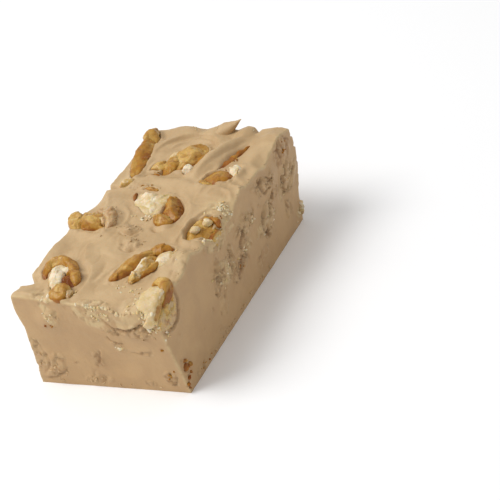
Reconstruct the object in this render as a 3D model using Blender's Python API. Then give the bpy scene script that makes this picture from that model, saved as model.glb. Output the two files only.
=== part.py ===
"""A cut bar of fudge that lies on its flat base, with nine pieces of nut set in its top.

The bar's length runs along Y and its width along X. It stands on z = 0, and its middle is at x = y = 0.
Shapes are worked out in millimetres and put into their meshes in metres.
"""

import math

import bpy
import numpy as np

MM = 0.001
# Every point is moved by this, so that the middle of the whole piece is at x = y = 0.
PLACE = np.array((0.0, -1.2, 0.0))

# The bar, and how many cells of its lattice lie along each of its sides.
WIDTH = 52.0
LENGTH = 96.3
HEIGHT = 34.2
CELLS = (16, 29, 9)
EDGE_ROUND = 0.7
# How far each corner of the knife-cut bar is off a true box, by (right, back, top).
CORNER_SHIFTS = {
    (0, 0, 0): (-0.6, -0.9, 0.0),
    (1, 0, 0): (0.8, 2.3, 0.0),
    (0, 1, 0): (0.4, -1.2, 0.0),
    (1, 1, 0): (-0.8, -1.5, 0.0),
    (0, 0, 1): (0.2, 0.2, -0.1),
    (1, 0, 1): (-0.5, -1.5, -1.3),
    (0, 1, 1): (0.7, 0.6, 0.0),
    (1, 1, 1): (0.6, 2.0, 1.3),
}
# Swells and hollows of the top: centre, half-axes, turn in degrees, height.
TOP_SWELLS = (
    ((-8, -20), (13, 14), 0, 1.2),
    ((-16, -1), (8, 10), 20, 0.9),
    ((0, 14.5), (26, 4.5), -6, 1.3),
    ((8.5, 31), (5, 17), -18, 2.0),
    ((-14, 33), (7, 12), 0, 0.8),
    ((18, 8), (9, 8), 0, 0.7),
    ((19, -27), (7, 9), 0, 0.9),
    ((-13, 47), (9, 6), 0, 1.6),
    ((12, 47), (5, 6), 0, 1.6),
    ((22, 38), (7, 18), 0, 0.9),
    ((23, -8), (5, 9), 10, -1.6),
    ((-10.5, -39), (4, 4), 0, -1.2),
)
# Swells of the four sides, by (axis, end): (place along the side, height up), half-axes, how far out.
SIDE_SWELLS = {
    (0, 1): (
        ((28, 28), (10, 6), 0.9),
        ((23, 17), (9, 6), 0.8),
        ((9, 24), (8, 6), 0.8),
        ((-10, 19), (9, 8), 0.7),
        ((38, 18), (6, 7), -0.9),
        ((41, 31), (6, 5), 0.7),
    ),
    (0, 0): (
        ((-36, 22), (9, 9), 0.8),
        ((-12, 15), (10, 8), 0.7),
        ((10, 24), (9, 7), -0.8),
        ((30, 14), (11, 9), 0.8),
    ),
    (1, 0): (
        ((14, 24), (12, 6), 0.9),
        ((-14, 26), (7, 6), 0.7),
        ((-19, 8), (9, 8), 0.6),
        ((6, 10), (8, 6), -0.5),
    ),
    (1, 1): (
        ((-12, 20), (10, 8), 0.8),
        ((13, 24), (14, 12), 0.8),
        ((26, 23), (12, 15), 3.0),
    ),
}

# A peak that the spoon pulled up at the back, as one lobe joined to the bar.
PEAK = dict(
    points=((-2.0, 44.6, 33.0), (3.6, 46.6, 35.4), (10.0, 48.4, 39.2)),
    across=(4.2, 3.2, 0.6),
    up=(3.0, 2.4, 0.5),
)

# Each nut is one or more lobes. A lobe is a closed shell along a curve through its points, with
# half-widths across and up at the start, middle and end of the curve. A break is a flat place where the
# nut snapped, and a cut is where the knife took it off with the bar: (normal, point).
SEAT_GAP = 0.35
CUT_CLEARANCE = 2.5
RINGS = 8
SECTORS = 10
LEAST_KEPT = 0.05
BULGE_DEPTH = 0.1
RIGHT_CUT = ((1.0, 0.0, 0.0), (25.5, 0.0, 0.0))
HEART_TOP = ((-0.1, -0.22, 0.97), (-3.2, 3.4, 36.2))
NUTS = {
    "nut_back_left": (
        dict(
            points=((-17.2, 15.6, 33.8), (-21.0, 31.0, 34.6), (-23.8, 45.4, 35.2)),
            across=(2.6, 3.7, 3.2),
            up=(2.3, 3.0, 2.6),
            bulges=3,
        ),
        dict(
            points=((-20.4, 12.8, 33.6), (-18.4, 14.0, 34.2), (-15.8, 15.8, 33.8)),
            across=(1.7, 2.4, 1.8),
            up=(1.6, 2.0, 1.6),
        ),
    ),
    "nut_back_middle": (
        dict(
            points=((-4.6, 24.6, 33.6), (-1.8, 31.0, 34.0), (0.4, 38.8, 34.0)),
            across=(3.4, 4.9, 4.0),
            up=(2.6, 3.6, 3.0),
            breaks=(((-0.2, -0.3, 0.93), (-2.2, 31.0, 37.3)), ((0.7, -0.4, 0.6), (1.6, 31.0, 37.2))),
        ),
        dict(
            points=((-8.0, 18.6, 33.6), (-6.8, 25.0, 34.0), (-6.0, 32.0, 34.0)),
            across=(2.4, 3.4, 2.8),
            up=(1.9, 2.5, 2.0),
        ),
        dict(
            points=((-14.2, 22.4, 33.6), (-11.0, 25.0, 34.0), (-7.0, 25.8, 33.8)),
            across=(2.0, 2.8, 2.2),
            up=(1.5, 2.0, 1.7),
        ),
    ),
    "nut_back_right": (
        dict(
            points=((8.8, 18.4, 33.4), (14.4, 19.2, 34.0), (20.2, 19.6, 33.4)),
            across=(3.6, 5.0, 3.4),
            up=(2.0, 2.6, 2.0),
        ),
        dict(
            points=((12.4, 21.0, 33.6), (14.4, 30.4, 34.0), (16.8, 38.6, 34.4)),
            across=(2.2, 1.7, 1.0),
            up=(1.7, 1.7, 1.2),
        ),
    ),
    "nut_middle": (
        dict(
            points=((-9.8, 6.2, 33.8), (-5.6, 4.2, 34.2), (-0.8, -2.6, 33.8)),
            across=(2.4, 4.0, 2.6),
            up=(2.2, 2.8, 2.2),
            breaks=(HEART_TOP,),
        ),
        dict(
            points=((2.2, 8.8, 33.8), (0.0, 4.2, 34.2), (1.2, -3.0, 33.8)),
            across=(2.0, 3.2, 2.4),
            up=(2.2, 2.8, 2.2),
            breaks=(HEART_TOP,),
        ),
        dict(
            points=((3.4, 7.6, 33.4), (6.6, 0.4, 34.0), (8.8, -6.4, 33.4)),
            across=(3.0, 4.6, 4.4),
            up=(3.4, 4.6, 4.0),
            breaks=(
                ((-0.62, -0.3, 0.72), (5.9, 1.4, 37.0)),
                ((0.66, 0.38, 0.65), (6.2, 1.4, 37.0)),
                ((0.05, -0.66, 0.75), (8.4, -3.4, 36.5)),
            ),
        ),
        dict(
            points=((2.4, -3.4, 33.8), (6.0, -5.8, 34.2), (10.2, -5.8, 33.7)),
            across=(1.8, 2.7, 2.2),
            up=(2.0, 2.8, 2.4),
        ),
    ),
    "nut_right_edge": (
        dict(
            points=((19.0, -15.4, 31.8), (20.2, -8.2, 32.2), (21.6, -0.8, 32.2)),
            across=(4.2, 5.8, 4.4),
            up=(3.0, 3.8, 3.0),
            breaks=(((0.4, -0.12, 0.91), (21.6, -8.0, 33.4)),),
            cuts=(RIGHT_CUT,),
        ),
    ),
    "nut_left_edge": (
        dict(
            points=((-24.6, -7.8, 34.2), (-18.8, -9.2, 34.6), (-12.0, -11.4, 34.2)),
            across=(3.6, 4.4, 3.6),
            up=(3.0, 3.3, 2.8),
            breaks=(((0.1, -0.74, 0.66), (-18.4, -11.6, 36.3)),),
        ),
        dict(
            points=((-25.2, -6.2, 33.8), (-24.0, -9.6, 34.5), (-21.6, -13.4, 33.9)),
            across=(1.5, 2.5, 2.2),
            up=(2.0, 2.5, 2.0),
        ),
        dict(
            points=((-20.4, -3.8, 34.6), (-15.8, -4.2, 35.6), (-12.0, -8.0, 35.6), (-10.8, -14.0, 34.4)),
            across=(1.9, 2.4, 2.0),
            up=(1.9, 2.4, 1.9),
        ),
    ),
    "nut_front_left": (
        dict(
            points=((-19.6, -39.2, 33.5), (-19.8, -32.6, 34.4), (-13.8, -32.2, 34.7), (-7.8, -39.0, 33.8)),
            across=(2.0, 2.8, 2.4),
            up=(2.0, 2.5, 2.2),
        ),
        dict(
            points=((-11.4, -35.4, 34.8), (-15.4, -36.2, 35.0), (-13.4, -41.2, 34.8), (-11.4, -46.0, 33.9)),
            across=(2.3, 2.7, 2.2),
            up=(2.0, 2.3, 2.0),
        ),
        dict(
            points=((-12.0, -41.4, 33.6), (-9.4, -44.4, 34.0), (-8.6, -47.2, 33.3)),
            across=(2.3, 3.8, 3.4),
            up=(2.0, 2.6, 2.1),
        ),
    ),
    "nut_front_middle": (
        dict(
            points=((3.8, -37.4, 33.8), (8.0, -29.4, 34.4), (12.6, -21.8, 34.4)),
            across=(2.3, 3.7, 3.3),
            up=(1.9, 2.6, 2.3),
        ),
        dict(
            points=((11.0, -23.6, 33.8), (14.4, -20.8, 34.4), (18.2, -21.4, 33.8)),
            across=(2.5, 3.3, 2.2),
            up=(1.9, 2.5, 1.9),
        ),
        dict(
            points=((11.4, -37.6, 33.8), (12.2, -31.0, 34.6), (14.2, -24.6, 34.4)),
            across=(1.9, 2.7, 2.2),
            up=(2.0, 2.5, 2.1),
        ),
        dict(
            points=((14.0, -29.2, 34.0), (16.8, -26.4, 34.4), (19.2, -23.8, 34.0)),
            across=(1.8, 2.6, 1.9),
            up=(1.6, 1.9, 1.5),
        ),
    ),
    "nut_front_right": (
        dict(
            points=((22.2, -47.4, 30.8), (22.2, -42.8, 31.0), (22.4, -36.2, 31.2)),
            across=(4.6, 6.2, 4.8),
            up=(4.5, 5.5, 4.5),
            breaks=(((-0.2, -0.06, 0.98), (20.6, -43.6, 35.1)),),
            cuts=(RIGHT_CUT,),
        ),
    ),
}
FUDGE_COLOUR = (0.55, 0.40, 0.25, 1.0)
FUDGE_ROUGHNESS = 0.6
NUT_COLOUR = (0.50, 0.28, 0.10, 1.0)
NUT_ROUGHNESS = 0.5


def swell(along, across, centre, half_axes, height):
    """A round swell: height times the square of 1 - r squared, with r = 1 on an ellipse about its centre."""
    squared = ((along - centre[0]) / half_axes[0]) ** 2 + ((across - centre[1]) / half_axes[1]) ** 2
    return height * np.clip(1.0 - squared, 0.0, None) ** 2


def turned(x, y, centre, degrees):
    """The plan coordinates after a turn about the centre."""
    cosine = math.cos(math.radians(degrees))
    sine = math.sin(math.radians(degrees))
    right, back = x - centre[0], y - centre[1]
    return centre[0] + cosine * right - sine * back, centre[1] + sine * right + cosine * back


def bar_points(share):
    """The place of each share (right, back, up) of the bar: its corners joined by straight lines, plus the
    swells of each face, which fade away towards the opposite face, and rounded edges."""
    points = (share - (0.5, 0.5, 0.0)) * (WIDTH, LENGTH, HEIGHT)
    for corner, shift in CORNER_SHIFTS.items():
        near = np.where(np.array(corner) == 1, share, 1.0 - share)
        points = points + near.prod(axis=1)[:, None] * np.array(shift)
    x, y, z = points.T
    moved = points.copy()
    rise = sum(
        swell(*turned(x, y, middle, degrees), middle, half_axes, height)
        for middle, half_axes, degrees, height in TOP_SWELLS
    )
    moved[:, 2] += rise * share[:, 2] ** 3
    for (axis, end), swells in SIDE_SWELLS.items():
        near = share[:, axis] if end else 1.0 - share[:, axis]
        out = sum(swell(points[:, 1 - axis], z, *one) for one in swells)
        moved[:, axis] += (2 * end - 1) * out * near**6
    on_face = (share == 0.0) | (share == 1.0)
    on_face[:, 2] &= share[:, 2] > 0.5
    on_edge = on_face.sum(axis=1) > 1
    inward = np.sign(0.5 - share) * on_face * on_edge[:, None]
    return moved + inward * EDGE_ROUND * (1.0 - math.sqrt(0.5))


def bar_mesh():
    """The skin of a lattice, whose rows next to an edge lie close to it, and one flat face for the base."""
    lines = []
    for cells, size in zip(CELLS, (WIDTH, LENGTH, HEIGHT)):
        inner = np.linspace(EDGE_ROUND / size, 1.0 - EDGE_ROUND / size, cells - 1)
        lines.append(np.concatenate(([0.0], inner, [1.0])))
    lines[2] = np.delete(lines[2], 1)
    last = np.array([len(line) - 1 for line in lines])
    index = np.indices(last + 1).reshape(3, -1).T
    share = np.stack([line[index[:, axis]] for axis, line in enumerate(lines)], axis=1)
    between = (index > 0) & (index < last)
    used = ~between[:, :2].all(axis=1) | (index[:, 2] == last[2])
    number = np.where(used, np.cumsum(used) - 1, -1).reshape(last + 1)
    sheets = (number[0], number[-1][::-1], number[:, 0][::-1], number[:, -1], number[:, :, -1].T)
    faces = []
    for sheet in sheets:
        corners = (sheet[:-1, :-1], sheet[:-1, 1:], sheet[1:, 1:], sheet[1:, :-1])
        faces += np.stack(corners, axis=-1).reshape(-1, 4).tolist()
    rim = number[:, :, 0]
    base = np.concatenate((rim[:, 0], rim[-1, 1:], rim[-2::-1, -1], rim[0, -2:0:-1]))
    return bar_points(share[used]), [*faces, base[::-1].tolist()]


def drawn_in(out, centre, planes, clearance):
    """The share of each outward step that is kept, so that it ends at the first of the planes it meets."""
    kept = np.ones(out.shape[:2])
    for normal, point in planes:
        normal = np.array(normal) / np.linalg.norm(normal)
        room = (np.array(point) + normal * clearance - centre) @ normal
        reach = np.maximum(out @ normal, 1e-9)
        kept = np.minimum(kept, room[:, None] / reach)
    return np.clip(kept, LEAST_KEPT, 1.0)[:, :, None]


def lobe_points(points, across, up, bulges=0, breaks=(), cuts=(), gap=0.0):
    """A closed shell about a smooth curve: an ellipse at each ring, with round ends, swellings along it,
    and every point drawn in to the breaks and cuts. The gap makes it larger, as the tool for its seat."""
    knots = np.linspace(0.0, 1.0, len(points))
    curve = np.polynomial.polynomial.polyfit(knots, np.array(points), len(points) - 1)
    along = 0.5 - 0.5 * np.cos(np.linspace(0.0, math.pi, RINGS + 2))
    centre = np.polynomial.polynomial.polyval(along, curve).T
    tangent = np.gradient(centre, axis=0)
    tangent /= np.linalg.norm(tangent, axis=1)[:, None]
    centre = centre + tangent * ((2.0 * along - 1.0) * gap)[:, None]
    side = np.cross(tangent, (0.0, 0.0, 1.0))
    side /= np.linalg.norm(side, axis=1)[:, None]
    rise = np.cross(side, tangent)
    thirds = np.linspace(0.0, 1.0, 3)
    taper = np.sqrt(1.0 - np.abs(2.0 * along - 1.0) ** 3)
    if bulges:
        taper = taper * (1.0 + BULGE_DEPTH * np.cos(2.0 * math.pi * bulges * along))
    angle = 2.0 * math.pi * np.arange(SECTORS) / SECTORS
    half_width = ((np.interp(along, thirds, across) + gap) * taper)[:, None] * np.cos(angle)
    half_height = ((np.interp(along, thirds, up) + gap) * taper)[:, None] * np.sin(angle)
    out = side[:, None] * half_width[:, :, None] + rise[:, None] * half_height[:, :, None]
    out = out * drawn_in(out, centre, breaks, gap)
    out = out * drawn_in(out, centre, cuts, CUT_CLEARANCE if gap else 0.0)
    return centre[0], centre[-1], (centre[:, None] + out)[1:-1]


def lobe_mesh(lobe, gap=0.0):
    """The lobe's rings, joined by quads, with a fan of triangles at each end."""
    first, last, rings = lobe_points(**lobe, gap=gap)
    points = np.concatenate([rings.reshape(-1, 3), [first, last]])
    start, end = len(points) - 2, len(points) - 1
    top_ring = (RINGS - 1) * SECTORS
    faces = []
    for j in range(SECTORS):
        k = (j + 1) % SECTORS
        faces.append((start, j, k))
        faces.append((end, top_ring + k, top_ring + j))
        for low in range(0, top_ring, SECTORS):
            faces.append((low + k, low + j, low + SECTORS + j, low + SECTORS + k))
    return points, faces


def add_object(name, points, faces, material=None):
    """A new object from points in millimetres. Without a material it is a cutter or a lobe to join."""
    mesh = bpy.data.meshes.new(name)
    mesh.from_pydata(((np.asarray(points) + PLACE) * MM).tolist(), [], faces)
    made = bpy.data.objects.new(name, mesh)
    bpy.context.scene.collection.objects.link(made)
    if material:
        mesh.materials.append(material)
        mesh.shade_smooth()
        mesh.set_sharp_from_angle(angle=math.radians(40))
    else:
        made.hide_render = True
        made.display_type = "WIRE"
    return made


def add_boolean(target, tool, operation):
    """A Boolean on the target."""
    modifier = target.modifiers.new(tool.name, "BOOLEAN")
    modifier.operation = operation
    modifier.solver = "EXACT"
    modifier.object = tool


def new_material(name, colour, roughness):
    """A plain finish."""
    material = bpy.data.materials.new(name)
    material.use_nodes = True
    shader = material.node_tree.nodes["Principled BSDF"]
    shader.inputs["Base Color"].default_value = colour
    shader.inputs["Roughness"].default_value = roughness
    return material


def build():
    """The bar with a seat cut for each nut, and the nuts in their seats."""
    for old in list(bpy.data.objects):
        bpy.data.objects.remove(old)
    bar = add_object("fudge_block", *bar_mesh(), new_material("fudge", FUDGE_COLOUR, FUDGE_ROUGHNESS))
    add_boolean(bar, add_object("peak_lobe", *lobe_mesh(PEAK)), "UNION")
    nut_finish = new_material("nut", NUT_COLOUR, NUT_ROUGHNESS)
    for name, lobes in NUTS.items():
        nut = add_object(name, *lobe_mesh(lobes[0]), nut_finish)
        for number, lobe in enumerate(lobes):
            if number:
                add_boolean(nut, add_object(f"{name}_lobe_{number}", *lobe_mesh(lobe)), "UNION")
            seat = add_object(f"{name}_seat_{number}", *lobe_mesh(lobe, SEAT_GAP))
            add_boolean(bar, seat, "DIFFERENCE")


build()
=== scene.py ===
"""A cut bar of butter fudge with pieces of nut in its top. Shapes are worked out in millimetres in numpy."""

import math

import bpy
import numpy as np
from mathutils import Matrix


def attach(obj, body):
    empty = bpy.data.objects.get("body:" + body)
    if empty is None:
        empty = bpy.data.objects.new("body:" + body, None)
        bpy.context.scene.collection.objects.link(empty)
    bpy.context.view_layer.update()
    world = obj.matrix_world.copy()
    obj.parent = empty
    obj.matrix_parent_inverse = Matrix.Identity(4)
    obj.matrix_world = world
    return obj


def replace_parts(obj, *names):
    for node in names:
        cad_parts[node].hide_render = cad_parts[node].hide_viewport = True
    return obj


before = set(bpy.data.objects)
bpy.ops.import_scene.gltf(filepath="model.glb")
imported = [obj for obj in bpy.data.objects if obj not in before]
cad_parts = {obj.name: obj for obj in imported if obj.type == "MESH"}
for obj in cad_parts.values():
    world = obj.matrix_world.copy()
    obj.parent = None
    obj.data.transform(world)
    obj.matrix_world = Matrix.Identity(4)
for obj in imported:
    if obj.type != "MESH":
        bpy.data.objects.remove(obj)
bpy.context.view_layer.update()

# --- The nuts --------------------------------------------------------------------------------------
# Nine broken pieces of nut pressed into the top: curled and ridged lobes with a thin oily skin, golden to
# reddish brown, and cream flesh where they snapped. Fudge holds each one by its lower half.

MM = 0.001
PLACE = np.array((0.0, -1.2, 0.0))
RINGS = 52
SECTORS = 44
# The level of the fudge around the nuts, and how much darker a nut's skin is painted towards and below that
# level: painted shade on its lower flanks.
SEAT_LEVEL = 34.5
FLANK_SHADE = 0.5
# Planes that several lobes are cut along: the sides of the bar, and the flat top of the heart-shaped piece.
RIGHT_FACE = ((1, 0, 0.02), (25.8, 0, 30), 0.1, -0.5)
FRONT_FACE = ((0, -1, 0), (0, -49.1, 33), 0.8, -0.1)
HEART_TOP = ((-0.1, -0.22, 0.97), (-3.2, 3.4, 36.2), 1, 0)
# Tones of bare flesh.
PALE = (0, 0, 0)
WHITE = (-0.4, -0.4, -0.4)
CREAMY = (0.15, 0.15, 0.15)


def lobe(points, across, up, tone, **more):
    """A lobe of a nut: points of its curve; half-widths across and up at its start, middle and end; skin tone
    there (-0.5 fudge-coated, 0 gold, 0.5 brown, 1 red-brown, 1.5 dark amber); and what else shapes it, such
    as breaks: the normal of a broken face, a point on it, how much flesh it shows and its tone."""
    return dict(points=points, across=across, up=up, tone=tone, **more)


NUTS = {}
NUTS["nut_back_left"] = (
    lobe(((-17.2, 15.6, 33.8), (-21, 31, 34.6), (-23.8, 45.4, 35.2)),
         (2.4, 3.6, 3), (2.2, 3, 2.4), (0.5, 0.7, 0.45), bulges=(3, 0.07)),
    lobe(((-21.6, 35, 34.8), (-22.8, 41, 35.4), (-24, 46.8, 35.6)),
         (2.6, 3.3, 1.7), (2.3, 2.7, 1.9), (0.5, 0.25, 0.1), chips=8,
         breaks=(((0.45, -0.3, 0.84), (-22.6, 41, 37.5), 0, 0.2),)),
    lobe(((-17.8, 21, 33.8), (-18.6, 28, 34.2), (-19.4, 35, 34)),
         (1.5, 2, 1.5), (1.8, 2.4, 1.8), (0.7, 0.8, 0.7)),
    lobe(((-20.6, 12.6, 33.6), (-18.6, 13.8, 34.4), (-15.8, 15.8, 34)),
         (1.7, 2.4, 1.8), (1.6, 2, 1.6), (-0.2, -0.2, 0), flesh=0.45),
)
NUTS["nut_back_middle"] = (
    lobe(((-5.6, 22.4, 33.6), (-2.2, 29.6, 34.2), (0.4, 38, 34.2)),
         (4.4, 6, 4.6), (3, 4, 3.4), (0.1, 0.05, 0.1), chips=5,
         breaks=(((-0.2, -0.3, 0.93), (-2.2, 31, 37.7), 0, 0.05),
                 ((0.6, -0.62, 0.5), (1, 28.6, 37.2), 0, 0.3),
                 ((0.9, 0.1, 0.42), (4, 33, 36.2), 0, 0.7))),
    lobe(((-8, 18.6, 33.8), (-6.8, 25, 34.2), (-6, 32, 34.2)),
         (2.4, 3.4, 2.8), (1.9, 2.5, 2), (0.4, 0.25, 0.15),
         breaks=(((-0.4, -0.5, 0.77), (-6.6, 24, 36.2), 0, 0.3),)),
    # Partly the nut's brown skin, partly painted shade on its right side.
    lobe(((1.6, 24.4, 33.2), (4, 28.6, 33.8), (4.8, 35, 33.6)),
         (1.6, 2.2, 1.8), (2, 2.8, 2.2), (0.5, 0.55, 0.7)),
    lobe(((-0.8, 22, 35), (1.2, 22.6, 35.4), (3.2, 23, 35)),
         (2, 2.4, 2), (1.5, 1.8, 1.5), WHITE, flesh=1, chips=3),
    lobe(((-14.2, 22.4, 33.6), (-11, 25, 34.2), (-7.6, 25.8, 33.8)),
         (2, 2.8, 2), (1.5, 2, 1.6), (0.3, 0, 0.3), chips=9),
    lobe(((-12.4, 19.6, 33.8), (-9.6, 19, 34.2), (-6, 19.4, 33.8)),
         (1, 1.4, 1.1), (0.9, 1.3, 1), (0.8, 0.6, 0.8), chips=9),
    lobe(((-9.6, 29, 34), (-8.4, 31.8, 34.6), (-7, 34.2, 34.2)),
         (1.2, 1.7, 1.2), (1.1, 1.5, 1.1), PALE, flesh=0.8, chips=9),
)
NUTS["nut_back_right"] = (
    lobe(((8.8, 18.4, 33.4), (14.4, 19.2, 34), (20.2, 19.6, 33.4)),
         (3.6, 5, 3.4), (2, 2.6, 2), (0.35, 0.7, 1), chips=4,
         breaks=(((-0.25, -0.35, 0.9), (13.2, 17.4, 35.9), 0, 0.6),
                 ((0.3, 0.4, 0.87), (16.2, 20.6, 35.9), 0, 0.9))),
    lobe(((8.6, 18.6, 33.8), (11.8, 14.8, 34.3), (18.2, 14.8, 33.8)),
         (1.2, 1.7, 1.3), (1.3, 1.8, 1.3), (0.35, 0.1, 0.25)),
    lobe(((12, 22.8, 33.8), (14.4, 31, 34.3), (17, 39.4, 34.6)),
         (2, 1.6, 0.8), (1.3, 1.3, 0.8), (0.8, 0.9, 0.7), bulges=(5, 0.12)),
    lobe(((16.6, 26.4, 34.5), (18.8, 23.4, 35.1), (21, 19, 34.5)),
         (1.7, 2.6, 1.6), (1.5, 2, 1.5), (-0.1, -0.1, -0.1), flesh=0.9, chips=10),
)
NUTS["nut_middle"] = (
    lobe(((-9.8, 6.2, 33.8), (-5.6, 4.2, 34.2), (-0.8, -2.6, 33.8)),
         (2.4, 4, 2.6), (2.2, 2.8, 2.2), PALE, flesh=0.8, chips=5, breaks=(HEART_TOP,)),
    lobe(((2.2, 8.8, 33.8), (0, 4.2, 34.2), (1.2, -3, 33.8)),
         (2, 3.2, 2.4), (2.2, 2.8, 2.2), PALE, flesh=0.9, chips=5, breaks=(HEART_TOP,)),
    lobe(((3.4, 7.6, 33.4), (6.6, 0.4, 34), (8.8, -6.4, 33.4)),
         (3, 4.6, 4.4), (3.4, 4.6, 4), (0.6, 0.6, 0.7), chips=2,
         breaks=(((-0.62, -0.3, 0.72), (5.9, 1.4, 37), 0, 0.7),
                 ((0.66, 0.38, 0.65), (6.2, 1.4, 37), 0, 0.5),
                 ((0.05, -0.66, 0.75), (8.4, -3.4, 36.5), 0, 0.66))),
    lobe(((2.4, -3.4, 33.8), (6, -5.8, 34.2), (10.2, -5.8, 33.7)),
         (1.8, 2.7, 2.2), (2, 2.8, 2.4), (0.3, 0.35, 0.5), chips=3,
         breaks=(((-0.1, -0.6, 0.8), (6, -7.4, 36.2), 0, 0.35),)),
    lobe(((-11.8, 9, 33.8), (-10.8, 6.6, 34.3), (-9.6, 3.8, 33.8)),
         (0.8, 1.1, 0.8), (1, 1.4, 1), (0.8, 1, 0.8), chips=8),
    lobe(((-10.8, 10.2, 33.8), (-7.4, 11.2, 34.3), (-3.4, 10, 33.8)),
         (0.9, 1.3, 0.9), (1, 1.4, 1), (0.9, 0.5, 0.2), chips=8),
)
NUTS["nut_right_edge"] = (
    lobe(((19, -15.4, 31.8), (20.2, -8.2, 32.2), (21.6, -0.8, 32.2)),
         (4.2, 5.8, 4.4), (3, 3.8, 3), (-0.1, -0.1, 0), flesh=0.35, chips=4,
         breaks=(RIGHT_FACE, ((0.4, -0.12, 0.91), (21.6, -8, 33.4), 0.3, -0.2))),
    lobe(((23.2, -14.2, 29.8), (24.4, -9, 30.2), (25.2, -3.6, 30.2)),
         (2.8, 3.4, 2.4), (2.2, 2.6, 2.2), (0.2, 0.4, 0.2), breaks=(RIGHT_FACE,)),
    lobe(((20.6, -1.8, 33), (23.4, -2.6, 33.2), (26, -4.2, 32.2)),
         (1.2, 1.5, 1.1), (1.1, 1.4, 1.1), (0.5, 0.3, 0.65), breaks=(RIGHT_FACE,)),
    lobe(((18.4, -10.2, 33.8), (19.6, -9.2, 34.5), (21, -8.2, 34)),
         (1.3, 1.8, 1.3), (1.2, 1.5, 1.2), CREAMY, flesh=0.95, chips=4),
    lobe(((20.8, -5.6, 33.4), (22, -4.8, 34.1), (23.4, -4.2, 33.6)),
         (1.2, 1.7, 1.2), (1.2, 1.5, 1.2), CREAMY, flesh=0.95, chips=4),
)
NUTS["nut_left_edge"] = (
    lobe(((-25, -7.8, 34.2), (-18.8, -9.2, 34.6), (-12, -11.4, 34.2)),
         (4, 4.4, 3.8), (3, 3.3, 2.8), (0, 0.05, 0.2), chips=3,
         breaks=(((0.1, -0.8, 0.6), (-18.4, -11.8, 36.2), 0, 0.55),
                 ((-0.1, 0.1, 0.98), (-19.6, -8.6, 37.1), 0, 0.15),
                 ((-1, 0.1, 0.1), (-23.6, -9, 35), 0, 0.3),
                 ((0.9, 0.1, 0.4), (-14.6, -10, 35.6), 0, 0.2))),
    lobe(((-26.8, -5.2, 34), (-24.8, -9.2, 34.7), (-21.8, -13.6, 34)),
         (2.6, 3.3, 2.6), (2.4, 2.9, 2.2), (0.1, 0.1, 0.15), flesh=0.25, chips=2,
         breaks=(((-0.15, -0.1, 0.98), (-24.8, -9.2, 36.9), 0.45, -0.1),
                 ((-0.9, -0.4, 0.15), (-27.2, -10.2, 35), 0, 0.4),
                 ((0.1, -0.9, 0.3), (-21.8, -14.4, 35), 0, 0.5))),
    lobe(((-20.4, -3.8, 34.6), (-15.8, -4.2, 35.6), (-12, -8, 35.6), (-10.8, -14, 34.4)),
         (1.9, 2.4, 2), (1.9, 2.4, 1.9), (-0.7, -0.5, -0.7), flesh=0.3, chips=11, bulges=(6, 0.18)),
    lobe(((-16.6, -6.4, 34.2), (-14.8, -8, 35.2), (-13.6, -10.6, 34.4)),
         (1.2, 1.6, 1.2), (1.2, 1.6, 1.2), (-0.4, -0.2, -0.4), flesh=0.4, chips=9),
    lobe(((-27.6, -9.6, 34), (-27.2, -8.6, 34.5), (-26.6, -7.2, 34.2)),
         (0.9, 1.2, 0.9), (1, 1.3, 1), (0.9, 0.9, 0.7), chips=7),
)
NUTS["nut_front_left"] = (
    lobe(((-18.8, -39.4, 33.6), (-20.2, -33.4, 34.4), (-16.4, -31.2, 34.7), (-11.2, -34.6, 34.6),
          (-7.8, -39.2, 33.9)),
         (2, 2.6, 2.1), (2, 2.5, 2.2), (0.6, 0.42, 0.6), ridges=(4, 0.07, 1.4)),
    lobe(((-11.4, -35.4, 34.8), (-15.4, -36.2, 35), (-13.4, -41.2, 34.8), (-11.4, -46, 33.9)),
         (2.3, 2.7, 1.9), (2, 2.3, 1.9), (-0.2, -0.15, -0.1), flesh=0.95, chips=8,
         breaks=(((0.1, -0.2, 0.97), (-14, -39, 36.7), 1, -0.15),)),
    lobe(((-12, -41.6, 33.6), (-9.4, -44.8, 34.1), (-8.4, -48.6, 33.4)),
         (2.2, 3.8, 3.8), (2, 2.7, 2.3), (0.45, 0.4, 0.5), chips=3,
         breaks=(((0, -1, 0.1), (-8.6, -49.2, 33.5), 0, 0.5),)),
    # The dark amber lobe in the hollow under the arch: partly its own amber skin, partly painted shade of the
    # hollow.
    lobe(((-12.8, -38, 33.9), (-10, -39.6, 34.1), (-6.8, -41.6, 33.4)),
         (2.4, 2.8, 1.8), (1.5, 1.8, 1.5), (1.1, 1.5, 1.2), chips=1),
    lobe(((-12.2, -36.8, 34.2), (-8.8, -36.9, 34.9), (-6.4, -41, 34.1)),
         (1.2, 1.8, 1.7), (1.5, 1.9, 1.6), (0.95, 0.5, 0.45), chips=3),
    lobe(((-8.4, -42.6, 34), (-6.6, -44.6, 34.4), (-5.6, -46.8, 33.8)),
         (1, 1.5, 1.1), (1.1, 1.4, 1.1), (-0.9, -0.8, -0.9), chips=8),
    lobe(((-13.6, -48.6, 33.2), (-12.2, -46.8, 34), (-11.8, -44.6, 33.8)),
         (0.9, 1.3, 0.9), (1, 1.3, 1), WHITE, flesh=1, chips=9),
)
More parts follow.
